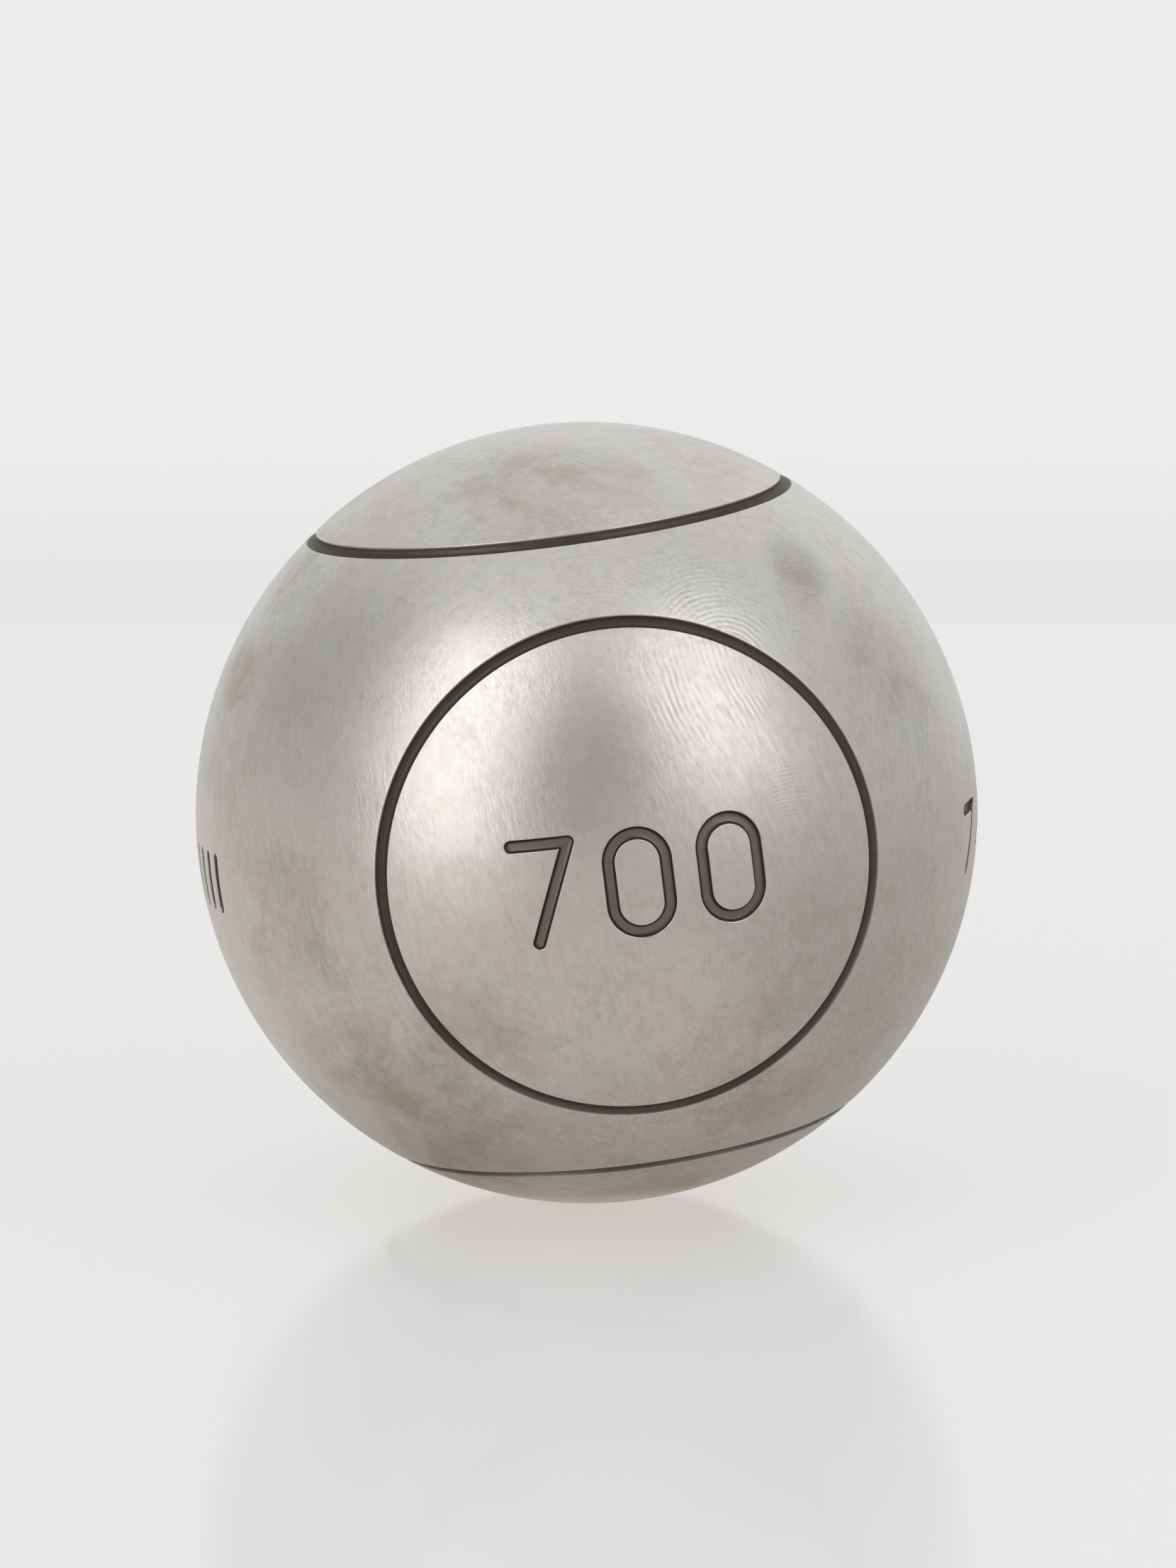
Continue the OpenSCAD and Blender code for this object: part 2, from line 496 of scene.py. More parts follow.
def skin_triangles(sizes):
    """Directions of the skin's points, and triangles that follow each channel, stroke and weld border."""
    rings = skin_rings(sizes)
    edges, used = [], 0
    for ring in rings:
        index = used + np.arange(len(ring))
        edges.append(np.column_stack([index, np.roll(index, -1)]))
        used += len(ring)
    stroke_offsets = [value * sizes.stroke_width / 2 for value in STROKE_SHARES]
    strokes = [onto_ball(path_contours(paths, stroke_offsets), turn) / BALL_RADIUS
               for paths, turn in marks(sizes)]
    directions = np.vstack([*rings, *strokes, fill_directions(sizes)])

    flat = [Vector(point) for point in flatten(directions).tolist()]
    whole_hull = 0
    made = delaunay_2d_cdt(flat, np.vstack(edges).tolist(), [], whole_hull, MERGE_DISTANCE, False)
    points = unflatten(np.array([point[:] for point in made[0]]))
    faces = np.array(made[2])
    pole = len(points)
    by_turn = np.argsort(np.arctan2(points[:, 2], points[:, 0]))
    rim = [i for i in by_turn if points[i, 1] > cos(CAP_SEARCH_SHARE * CAP_RADIUS / BALL_RADIUS)]
    cap = [(pole, rim[(i + 1) % len(rim)], rim[i]) for i in range(len(rim))]
    return np.vstack([points, [0, 1, 0]]), np.vstack([faces, cap])


def stroke_lines(sizes):
    """All stroke paths on the ball, as an object of edges that the engraving measures from."""
    points, edges = [], []
    for paths, turn in marks(sizes):
        for path in paths:
            start = len(points)
            points += onto_ball(path, turn).tolist()
            edges += [(i, i + 1) for i in range(start, len(points) - 1)]
    mesh = bpy.data.meshes.new("stroke_lines")
    mesh.from_pydata(points, edges, [])
    return bpy.data.objects.new("stroke_lines", mesh)


# Steepness of the walls: the cut's depth falls with this power of the distance from its middle
CHANNEL_POWER = 3.4
STROKE_POWER = 5.0

# Away from a cut its formula falls far below zero, so it is held at this share of the cut's depth
LEAST_CUT = -1.5

# The share of a cut's half width that the skin carries as an attribute stops at this
LARGEST_SHARE = 4.0


def engraving_nodes():
    """Node tree that sinks a ball's skin along its four circles and its strokes."""
    tree = bpy.data.node_groups.new("engraving", "GeometryNodeTree")
    graph = Graph(tree)
    tree.interface.new_socket("Geometry", in_out="INPUT", socket_type="NodeSocketGeometry")
    for name in ("Ball Radius", "Circle Reach", "Channel Width", "Channel Depth",
                 "Stroke Width", "Stroke Depth", "Lip"):
        tree.interface.new_socket(name, in_out="INPUT", socket_type="NodeSocketFloat")
    tree.interface.new_socket("Top Axis", in_out="INPUT", socket_type="NodeSocketVector")
    tree.interface.new_socket("Strokes", in_out="INPUT", socket_type="NodeSocketObject")
    tree.interface.new_socket("Finish", in_out="INPUT", socket_type="NodeSocketMaterial")
    tree.interface.new_socket("Geometry", in_out="OUTPUT", socket_type="NodeSocketGeometry")
    inputs = tree.nodes.new("NodeGroupInput")

    def given(name):
        return Term(graph, inputs.outputs[name])

    position = graph.node("GeometryNodeInputPosition")
    direction = graph.vector("NORMALIZE", position)

    def from_circles(axis):
        """Distance along the surface from the two circles round an axis."""
        cosine = graph.math("ABSOLUTE", graph.vector("DOT_PRODUCT", direction, axis, output="Value"))
        angle = graph.math("ARCCOSINE", graph.math("MINIMUM", cosine, 1.0))
        return graph.math("ABSOLUTE", angle - given("Circle Reach")) * given("Ball Radius")

    def cut(gap, width, depth, power):
        """Depth of a cut with sloping walls and a rounded lip."""
        plain = (1.0 - (gap / (width / 2.0)) ** power) * depth
        held = graph.math("MAXIMUM", plain, depth * LEAST_CUT)
        return graph.math("SMOOTH_MAX", held, 0.0, given("Lip"))

    channel_gap = graph.math("MINIMUM", from_circles((0.0, 1.0, 0.0)), from_circles(given("Top Axis")))
    strokes = graph.node("GeometryNodeObjectInfo", None, {"Object": given("Strokes")}, "Geometry")
    on_ball = graph.scaled(direction, given("Ball Radius"))
    stroke_gap = graph.node("GeometryNodeProximity", {"target_element": "EDGES"},
                            {0: strokes, "Sample Position": on_ball}, "Distance")
    depth = graph.math("MAXIMUM",
                       cut(channel_gap, given("Channel Width"), given("Channel Depth"), CHANNEL_POWER),
                       cut(stroke_gap, given("Stroke Width"), given("Stroke Depth"), STROKE_POWER))
    lowered = graph.scaled(direction, given("Ball Radius") - depth)
    geometry = given("Geometry")
    for name, gap, width in (("channel_share", channel_gap, "Channel Width"),
                             ("stroke_share", stroke_gap, "Stroke Width")):
        geometry = graph.node("GeometryNodeStoreNamedAttribute", {"data_type": "FLOAT", "domain": "POINT"}, {
            "Geometry": geometry, "Name": name,
            "Value": graph.math("MINIMUM", gap / (given(width) / 2.0), LARGEST_SHARE)})
    geometry = graph.node("GeometryNodeSetPosition", None, {"Geometry": geometry, "Position": lowered})
    geometry = graph.node("GeometryNodeSetShadeSmooth", None, {"Geometry": geometry})
    geometry = graph.node("GeometryNodeRealizeInstances", None, {"Geometry": geometry})
    geometry = graph.node("GeometryNodeSetMaterial", None, {
        "Geometry": geometry, "Material": given("Finish")})
    tree.links.new(geometry.socket, tree.nodes.new("NodeGroupOutput").inputs["Geometry"])
    return tree


def engrave(blank, sizes, strokes):
    """The blank's mesh once the engraving's node tree has cut it."""
    modifier = blank.modifiers.new("engraving", "NODES")
    modifier.node_group = engraving_nodes()
    values = {
        "Ball Radius": BALL_RADIUS,
        "Circle Reach": circle_reach(sizes),
        "Channel Width": sizes.channel_width,
        "Channel Depth": sizes.channel_depth,
        "Stroke Width": sizes.stroke_width,
        "Stroke Depth": sizes.stroke_depth,
        "Lip": sizes.lip,
        "Top Axis": circle_axes(sizes)[2],
        "Strokes": strokes,
        "Finish": steel_finish(),
    }
    for item in modifier.node_group.interface.items_tree:
        if item.in_out == "INPUT" and item.name in values:
            modifier[item.identifier] = values[item.name]
    depsgraph = bpy.context.evaluated_depsgraph_get()
    return bpy.data.meshes.new_from_object(blank.evaluated_get(depsgraph), depsgraph=depsgraph)


# Skin that is lower than this below the ball's own surface counts as cut
CUT_TOLERANCE = 0.0001 * MM


class Skin:
    """The ball's whole engraved skin: points, normals, triangles and shares of the cuts' half widths."""

    def __init__(self, sizes):
        directions, triangles = skin_triangles(sizes)
        mesh = bpy.data.meshes.new("skin_blank")
        mesh.from_pydata((directions * BALL_RADIUS).tolist(), [], triangles.tolist())
        blank = bpy.data.objects.new("skin_blank", mesh)
        lines = stroke_lines(sizes)
        for helper in (blank, lines):
            bpy.context.scene.collection.objects.link(helper)
        cut = engrave(blank, sizes, lines)
        self.points = self.read(cut.vertices, "co", 3)
        self.faces = self.read(cut.polygons, "vertices", 3, int)
        self.shares = {name: self.read(cut.attributes[name].data, "value", 1)[:, 0]
                       for name in ("channel_share", "stroke_share")}
        height = centre_distance(self.points)[:, None]
        plain = height > BALL_RADIUS - CUT_TOLERANCE
        self.normals = np.where(plain, self.points / height, self.read(cut.vertex_normals, "vector", 3))
        for helper in (blank, lines):
            helper_mesh = helper.data
            bpy.data.objects.remove(helper)
            bpy.data.meshes.remove(helper_mesh)
        bpy.data.meshes.remove(cut)

    @staticmethod
    def read(collection, name, width, kind=float):
        """A property of every item, one row each."""
        values = np.empty(len(collection) * width, np.int32 if kind is int else np.float32)
        collection.foreach_get(name, values)
        return values.reshape(-1, width).astype(kind)

    def middle_y(self):
        """Place of each triangle's middle along the weld's axis, with the cut's depth left out."""
        along = self.points[:, 1] / centre_distance(self.points) * BALL_RADIUS
        return along[self.faces].mean(1)


SKINS = []


def engraved_skin(sizes):
    """The skin that the pieces are cut from, made once."""
    if not SKINS:
        SKINS.append(Skin(sizes))
    return SKINS[0]


# Pieces: the skin's share of each piece, closed by its inner faces

# Points in a ring of the weld's groove, the step between the hollow's rings and between their points, the
# least number of points in one, and the number of steps across the bead's inner face
RING_COUNT = 240
HOLLOW_STEP = 2.4 * MM
LEAST_COUNT = 8
BEAD_STEPS = 8

# Number of the patch that is the skin. A piece's inner patches are numbered on from it.
SKIN_PATCH = 0


def turn_about_axis(points):
    return np.arctan2(points[:, 2], points[:, 0]) % (2 * pi)


class Piece:
    """Points and triangles of one closed piece, gathered patch by patch."""

    def __init__(self, skin, keep):
        used, faces = np.unique(skin.faces[keep], return_inverse=True)
        self.points = skin.points[used]
        self.normals = skin.normals[used]
        self.shares = {name: values[used] for name, values in skin.shares.items()}
        self.faces = faces.reshape(-1, 3)
        self.patches = np.full(len(self.faces), SKIN_PATCH)

    def rims(self):
        """Open rims of the skin, each in order of its turn, the one nearest the front first."""
        edges = np.vstack([self.faces[:, corners] for corners in ([0, 1], [1, 2], [2, 0])])
        pairs, times = np.unique(np.sort(edges, axis=1), axis=0, return_counts=True)
        open_points = np.unique(pairs[times == 1])
        rims = []
        for side in (-1, 1):
            own = open_points[self.points[open_points, 1] * side > 0]
            if len(own):
                rims.append(own[np.argsort(turn_about_axis(self.points[own]))])
        return rims

    def ring(self, radius, along, count=RING_COUNT):
        """Ring of new points round the weld's axis."""
        turns = np.arange(count) * 2 * pi / count
        made = np.column_stack([radius * np.cos(turns), np.full(count, along), radius * np.sin(turns)])
        first = len(self.points)
        self.points = np.vstack([self.points, made])
        return np.arange(first, first + count)

    def strip(self, first, second):
        """Triangles between two rings, taken in order of their turns. They make a patch of their own."""
        order = []
        for which, ring in enumerate((first, second)):
            turns = turn_about_axis(self.points[ring])
            order += [(turn, which) for turn in (*turns[1:], turns[0] + 2 * pi)]
        i = j = 0
        faces = []
        for _, which in sorted(order):
            a, b = first[i % len(first)], second[j % len(second)]
            if which == 0:
                i += 1
                faces.append((a, b, first[i % len(first)]))
            else:
                j += 1
                faces.append((a, b, second[j % len(second)]))
        self.add_patch(faces)

    def add_patch(self, faces):
        self.faces = np.vstack([self.faces, faces])
        self.patches = np.concatenate([self.patches, np.full(len(faces), self.patches.max() + 1)])

    def mesh(self, name):
        """Mesh of the piece, with its faces turned outwards."""
        mesh = bpy.data.meshes.new(name)
        mesh.from_pydata(self.points.tolist(), [], self.faces.tolist())
        shell = bmesh.new()
        shell.from_mesh(mesh)
        bmesh.ops.recalc_face_normals(shell, faces=shell.faces)
        shell.to_mesh(mesh)
        shell.free()
        mesh.shade_smooth()
        return mesh

    def set_shading(self, mesh):
        """Sharp edges between patches, and the whole skin's own normals, so that no seam shows."""
        corner_points = Skin.read(mesh.loops, "vertex_index", 1, int)[:, 0]
        corner_edges = Skin.read(mesh.loops, "edge_index", 1, int)[:, 0]
        corner_patches = np.repeat(self.patches, 3)
        lowest = np.full(len(mesh.edges), self.patches.max())
        highest = np.full(len(mesh.edges), SKIN_PATCH)
        np.minimum.at(lowest, corner_edges, corner_patches)
        np.maximum.at(highest, corner_edges, corner_patches)
        mesh.edges.foreach_set("use_edge_sharp", lowest != highest)
        on_skin = corner_patches == SKIN_PATCH
        worked_out_by_blender = (0.0, 0.0, 0.0)
        normals = np.full((len(corner_points), 3), worked_out_by_blender)
        normals[on_skin] = self.normals[corner_points[on_skin]]
        mesh.normals_split_custom_set(normals.tolist())
        mesh.update()

    def finish(self, node, slot):
        """Mesh object of the piece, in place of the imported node."""
        name = "finished_" + node
        mesh = self.mesh(name)
        mesh.materials.append(steel_finish())
        mesh.materials.append(raw_finish())
        inside = self.patches > SKIN_PATCH
        mesh.polygons.foreach_set("material_index", inside.astype(np.int32))
        for key, values in self.shares.items():
            padded = np.full(len(self.points), LARGEST_SHARE, np.float32)
            padded[:len(values)] = values
            mesh.attributes.new(key, "FLOAT", "POINT").data.foreach_set("value", padded)
        self.set_shading(mesh)
        made = bpy.data.objects.new(name, mesh)
        bpy.context.scene.collection.objects.link(made)
        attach(made, "root")
        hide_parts(node)
        return made


def half_shell(skin, side):
    """Half shell on one side of the weld: -1 is the front. Its bevel, nose and hollow close it."""
    piece = Piece(skin, skin.middle_y() * side > WELD_HALF_WIDTH)
    rim = piece.rims()[0]
    nose = piece.ring(NOSE_RADIUS, side * ROOT_HALF_GAP)
    piece.strip(rim, nose)
    foot = piece.ring(sqrt(HOLLOW_RADIUS ** 2 - ROOT_HALF_GAP ** 2), side * ROOT_HALF_GAP)
    piece.strip(nose, foot)
    start = acos(ROOT_HALF_GAP / HOLLOW_RADIUS)
    steps = ceil(start * HOLLOW_RADIUS / HOLLOW_STEP)
    last = foot
    for i in range(1, steps):
        angle = start * (1 - i / steps)
        radius = HOLLOW_RADIUS * sin(angle)
        count = max(LEAST_COUNT, round(2 * pi * radius / HOLLOW_STEP))
        ring = piece.ring(radius, side * HOLLOW_RADIUS * cos(angle), count)
        piece.strip(last, ring)
        last = ring
    pole = len(piece.points)
    piece.points = np.vstack([piece.points, [0, side * HOLLOW_RADIUS, 0]])
    piece.add_patch([(last[i], pole, last[(i + 1) % len(last)]) for i in range(len(last))])
    patches_before_hollow = 3
    piece.patches = np.minimum(piece.patches, patches_before_hollow)
    return piece


def weld_ring(skin):
    """Weld bead: the skin between the two borders, the V below it and the proud face inside the ball."""
    piece = Piece(skin, abs(skin.middle_y()) < WELD_HALF_WIDTH)
    front_rim, back_rim = piece.rims()
    edge_radius = sqrt(HOLLOW_RADIUS ** 2 - BEAD_HALF_WIDTH ** 2)
    rise = edge_radius - BEAD_FACE_RADIUS
    face_radius = (BEAD_HALF_WIDTH ** 2 + rise ** 2) / (2 * rise)
    foot_radius = sqrt(HOLLOW_RADIUS ** 2 - ROOT_HALF_GAP ** 2)
    front = [(NOSE_RADIUS, -ROOT_HALF_GAP), (foot_radius, -ROOT_HALF_GAP), (edge_radius, -BEAD_HALF_WIDTH)]
    back = [(radius, -along) for radius, along in reversed(front)]
    half_turn = asin(BEAD_HALF_WIDTH / face_radius)
    turns = [half_turn * (2 * i / BEAD_STEPS - 1) for i in range(1, BEAD_STEPS)]
    face = [(BEAD_FACE_RADIUS + face_radius * (1 - cos(turn)), face_radius * sin(turn)) for turn in turns]
    last = front_rim
    for i, (radius, along) in enumerate(front + face + back):
        ring = piece.ring(radius, along)
        piece.strip(last, ring)
        inside_face = len(front) < i <= len(front) + len(face)
        if inside_face:
            piece.patches[piece.patches == piece.patches.max()] -= 1
        last = ring
    piece.strip(last, back_rim)
    return piece


# Finishes. Their places are in mm, so the scales of their noise are per mm.

# Noise of the steel and of the scale in the hollow: its scale, its detail and, where it isn't 0.5, its
# roughness
WANDER_NOISE = (0.07, 2.0)
CLOUD_NOISE = (0.075, 5.0, 0.62)
BLOTCH_NOISE = (0.21, 4.0, 0.6)
MOTTLE_NOISE = (0.9, 4.0, 0.65)
OLIVE_NOISE = (0.17, 3.0)
GRAIN_NOISE = (6.0, 1.0, 0.6)
SCRATCH_NOISE = (1.0, 2.0, 0.6)
PATCHY_NOISE = (0.16, 2.0)
WAVER_NOISE = (0.25, 2.0)
BROKEN_NOISE = (0.45, 3.0)
SCALE_NOISE = (0.4, 5.0, 0.65)
TOOTH_NOISE = (3.0, 4.0, 0.6)

# What noise varies about
NOISE_MEAN = 0.5

# Levels of noise between which its pattern comes in and, for two of them, the strengths at these levels
CLOUD_LEVELS = (0.34, 0.66)
BLOTCH_LEVELS = (0.36, 0.64)
OLIVE_LEVELS = (0.42, 0.58)
SCALE_LEVELS = (0.35, 0.7)
PATCHY_LEVELS = (0.36, 0.6, 0.3, 1.0)
BROKEN_LEVELS = (0.36, 0.56, 0.1, 1.0)

# Weights of clouds and blotches, how strongly smudges show on clear and on cloudy steel, and how strongly
# the clouds and the mottle stain it
CLOUD_WEIGHT = 0.4
BLOTCH_WEIGHT = 0.5
CLEAR_SMUDGE = 0.2
CLOUDY_SMUDGE = 0.8
CLOUDY_STAIN = 0.3
MOTTLE_STAIN = 0.9

# Dirt in the cuts: two shares of a cut's half width, and the strengths at them. It ends at the lip, and it
# changes from the floor to the wall.
CHANNEL_END = (0.9, 1.1, 1.0, 0.0)
CHANNEL_FLOOR_TO_WALL = (0.35, 0.95, 1.0, 0.87)
STROKE_END = (0.9, 1.06, 1.0, 0.0)
STROKE_FLOOR_TO_WALL = (0.3, 0.85, 0.8, 1.0)
MOST_DIRT = 0.95

# Changes of the steel's roughness
CLOUD_ROUGHNESS = 0.1
HAIRLINE_ROUGHNESS = 0.1
LIP_ROUGHNESS = -0.06

# One unit of the steel's fine relief, and the heights of its scratches and grain in these units
RELIEF_UNIT = 0.001 * MM
HAIRLINE_HEIGHT = 20.0
GRAIN_HEIGHT = 5.0

# How strongly the scratches, and one relief unit of a finger mark, show in the steel's colour
HAIRLINE_TONE = 0.85
RIDGE_TONE = 0.012

# Height of the scale's grain inside the hollow
SCALE_HEIGHT = 0.05 * MM

# How far the clouds on the steel are pulled about, in mm
CLOUD_WARP = 9.0

# Smooth rounding of a cut's edge: its middle as a share of the half width, and the shares to each side of
# that at which it starts to fade and ends
LIP_SHARE = 1.14
LIP_FADE = (0.02, 0.14)

# Smudges on the steel: turn from the front to the right and rise in degrees, reach in mm, and strength
SMUDGES = (
    (-35, 63, 11, 0.5), (-10, 67, 9, 0.7), (50, 27, 7, 0.4), (-82, 42, 7, 0.7), (-79, 24, 7, 1.0),
    (-74, 9, 8, 0.5), (-56, -8, 10, 0.6), (-45, -31, 11, 0.9), (-30, -43, 9, 0.7), (-24, -24, 9, 0.6),
    (18, -26, 8, 0.65), (27, -38, 8, 0.6), (-45, -58, 12, 1.0), (10, -66, 13, 0.8), (100, 20, 14, 0.6),
    (135, -25, 12, 0.7), (170, 30, 12, 0.5), (-150, -10, 14, 0.6), (-110, 50, 12, 0.5),
    (-165, -50, 12, 0.6), (80, -45, 12, 0.5), (60, 70, 10, 0.4),
)

# Grease spots, in the same terms. They keep their round shape, while the smudges are pulled about.
GREASE_SPOTS = ((40, 45, 4.6, 0.6), (37, 41, 4.0, 0.3), (-140, 35, 5, 0.45), (120, 10, 5, 0.4))

# Share of its reach over which a smudge or spot, and a finger mark, keeps its full strength
SPOT_CORE = 0.3
MARK_CORE = 0.5

# Finger marks: the patch's turn and rise in degrees and its reach in mm, the turn and rise of the point that
# its ridges go round, their distance apart in mm, and their height in relief units
FINGER_MARKS = (
    (18, 40, 7, 17, 31, 0.55, 7.5), (12, 27, 7, 42, 31, 0.56, 7), (-3, 47, 6.5, -5, 34, 0.55, 8),
    (-36, -16, 6, -48, -20, 0.42, 3.5), (11, -14, 3, -8, -12, 0.45, 5), (-55, 62, 9, -80, 55, 0.52, 6.5),
    (-25, 55, 6, -25, 38, 0.55, 6.5), (-18, 74, 6, 20, 80, 0.5, 5), (39, 40, 6, 36, 32, 0.5, 6),
    (52, 30, 6, 40, 52, 0.5, 4.5), (-62, 28, 8, -30, 60, 0.5, 4),
    (24, 12, 3.5, 24, -10, 0.4, 3.5), (105, 15, 8, 92, 22, 0.5, 4), (150, -15, 9, 165, -25, 0.5, 4),
    (-140, 25, 9, -155, 15, 0.5, 4), (-115, -30, 8, -100, -36, 0.48, 4), (175, 45, 8, 160, 55, 0.5, 4),
    (75, -30, 8, 88, -22, 0.5, 3.5),
)

# How far the ridges of a finger mark waver, in mm
RIDGE_WAVER = 0.8

# Runs of fine scratches: the axis whose two sides carry them, the way that they run, and their strength
HAIRLINE_RUNS = (
    ("Y", (-0.42, 0, 0.9), 1.0), ("Y", (-0.1, 0, 1), 0.6), ("X", (0, 0.45, 0.9), 1.0),
    ("Z", (0.9, 0.4, 0), 0.9), ("Z", (0.5, -0.8, 0), 0.6),
)
# Width and length of a scratch, and the distance between the runs' patterns
HAIRLINE_WIDTH = 0.38 * MM
HAIRLINE_LENGTH = 7.0 * MM
HAIRLINE_SHIFT = 91.0 * MM
# Distances along its axis, in mm, between which a run comes in
HAIRLINE_START = (14.0, 27.0)


def on_skin(turn, rise):
    """Point of the ball's surface, in mm, at a turn from the front to the right and a rise, in degrees."""
    return tuple(direction_of(radians(turn), radians(rise)) * BALL_RADIUS * PER_MM)


def soft_patch(graph, place, turn, rise, reach, core, strength):
    """A round patch on the skin that fades out at its reach."""
    return graph.ease(graph.distance(place, on_skin(turn, rise)), core * reach, reach, strength, 0.0)


def soft_patches(graph, place, patches):
    """Sum of smudges or spots."""
    total = 0.0
    for turn, rise, reach, strength in patches:
        total = soft_patch(graph, place, turn, rise, reach, SPOT_CORE, strength) + total
    return total


def finger_ridges(graph, place):
    """Nested ridges of the finger marks, broken up here and there."""
    waver = graph.noise(place, *WAVER_NOISE) * RIDGE_WAVER
    broken = graph.ease(graph.noise(place, *BROKEN_NOISE), *BROKEN_LEVELS)
    total = 0.0
    for turn, rise, reach, centre_turn, centre_rise, pitch, height in FINGER_MARKS:
        patch = soft_patch(graph, place, turn, rise, reach, MARK_CORE, height)
        radius = graph.distance(place, on_skin(centre_turn, centre_rise)) + waver
        total = graph.math("SINE", radius * (2 * pi / pitch)) * patch + total
    return total * broken


def hairlines(graph, whole, place):
    """Fine straight scratches from grinding, in runs that cross each other. They are patchy."""
    total = 0.0
    for number, (axis, run, strength) in enumerate(HAIRLINE_RUNS):
        turned = graph.node("ShaderNodeMapping", {"vector_type": "TEXTURE"}, {
            "Vector": whole, "Location": (0.0, 0.0, number * HAIRLINE_SHIFT),
            "Rotation": Vector(run).to_track_quat("Z", "Y").to_euler(),
            "Scale": (HAIRLINE_WIDTH, HAIRLINE_WIDTH, HAIRLINE_LENGTH)})
        side = graph.math("ABSOLUTE", graph.part(place, axis))
        scratches = graph.noise(turned, *SCRATCH_NOISE) - NOISE_MEAN
        total = scratches * graph.ease(side, *HAIRLINE_START, 0.0, strength) + total
    return total * graph.ease(graph.noise(place, *PATCHY_NOISE), *PATCHY_LEVELS)


def fill_steel(graph, colours):
    """Satin steel: clouds, smudges, scratches and finger marks, dark oxide in the cuts and bright lips."""
    whole = graph.node("ShaderNodeTexCoord", None, None, "Object")
    place = graph.scaled(whole, PER_MM)
    wander = graph.noise(place, *WANDER_NOISE, output="Color")
    wander = graph.vector("SUBTRACT", wander, (NOISE_MEAN, NOISE_MEAN, NOISE_MEAN))
    warped = graph.vector("ADD", place, graph.scaled(wander, CLOUD_WARP))

    clouds = graph.noise(warped, *CLOUD_NOISE)
    blotches = graph.noise(warped, *BLOTCH_NOISE)
    mottle = graph.noise(place, *MOTTLE_NOISE)
    cloudy = graph.ease(clouds, *CLOUD_LEVELS) * CLOUD_WEIGHT
    cloudy = cloudy + graph.ease(blotches, *BLOTCH_LEVELS) * BLOTCH_WEIGHT
    smudges = soft_patches(graph, warped, SMUDGES) * (cloudy * CLOUDY_SMUDGE + CLEAR_SMUDGE)
    stain = smudges + cloudy * CLOUDY_STAIN + (mottle - NOISE_MEAN) * MOTTLE_STAIN
    hue = graph.ease(graph.noise(warped, *OLIVE_NOISE), *OLIVE_LEVELS)
    grease = soft_patches(graph, place, GREASE_SPOTS) * (mottle + NOISE_MEAN)

    channel = graph.attribute("channel_share")
    stroke = graph.attribute("stroke_share")
    in_channel = graph.ease(channel, *CHANNEL_END) * graph.ease(channel, *CHANNEL_FLOOR_TO_WALL)
    in_stroke = graph.ease(stroke, *STROKE_END) * graph.ease(stroke, *STROKE_FLOOR_TO_WALL)
    sunk = graph.math("MAXIMUM", in_channel, in_stroke)
    from_lip = graph.math("ABSOLUTE", graph.math("MINIMUM", channel, stroke) - LIP_SHARE)
    lip = graph.ease(from_lip, *LIP_FADE, 1.0, 0.0)

    hair = hairlines(graph, whole, place)
    grain = graph.noise(place, *GRAIN_NOISE)
    ridges = finger_ridges(graph, place)
    relief = hair * HAIRLINE_HEIGHT + grain * GRAIN_HEIGHT + ridges
    bump = graph.node("ShaderNodeBump", None, {"Strength": 1.0, "Distance": RELIEF_UNIT, "Height": relief})

    cloud_tone = graph.blend(hue, (*colours.stain, 1.0), (*colours.olive, 1.0))
    dirt = stain + hair * HAIRLINE_TONE + ridges * RIDGE_TONE
    tone = graph.blend(dirt, (*colours.steel, 1.0), cloud_tone)
    tone = graph.blend(grease, tone, (*colours.grease, 1.0))
    rough = colours.roughness + (clouds - NOISE_MEAN) * CLOUD_ROUGHNESS
    rough = rough + hair * HAIRLINE_ROUGHNESS + lip * LIP_ROUGHNESS
    bare = graph.node("ShaderNodeBsdfPrincipled", None, {
        "Base Color": tone, "Metallic": 1.0, "Roughness": rough, "Normal": bump})
    grime_tone = graph.blend(mottle, (*colours.oxide, 1.0), (*colours.grime, 1.0))
    grime = graph.node("ShaderNodeBsdfPrincipled", None, {
        "Base Color": grime_tone, "Metallic": 0.0, "Roughness": 0.55, "Specular IOR Level": 0.2,
        "Normal": bump})
    return graph.node("ShaderNodeMixShader", None, {0: sunk * MOST_DIRT, 1: bare, 2: grime})


def fill_scale(graph, colours):
    """Unpolished inner faces: blue-grey scale with a grainy tooth."""
    place = graph.scaled(graph.node("ShaderNodeTexCoord", None, None, "Object"), PER_MM)
    scale = graph.noise(place, *SCALE_NOISE)
    tone = graph.blend(graph.ease(scale, *SCALE_LEVELS), (*colours.raw, 1.0), (*colours.stain, 1.0))
    bump = graph.node("ShaderNodeBump", None, {
        "Strength": 0.6, "Distance": SCALE_HEIGHT, "Height": graph.noise(place, *TOOTH_NOISE)})
    return graph.node("ShaderNodeBsdfPrincipled", None, {
        "Base Color": tone, "Metallic": 0.8, "Roughness": 0.4 + scale * 0.3, "Normal": bump})


def finish_named(name, fill):
    """Material of a name, made once. The fill adds its nodes and gives their last one."""
    found = bpy.data.materials.get(name)
    if found:
        return found
    material = bpy.data.materials.new(name)
    graph = emptied_graph(material)
    shader = fill(graph, bpy.context.scene.boule_colours)
    graph.node("ShaderNodeOutputMaterial", None, {"Surface": shader})
    return material


def steel_finish():
    return finish_named("satin_steel", fill_steel)


def raw_finish():
    return finish_named("raw_steel", fill_scale)


# Studio

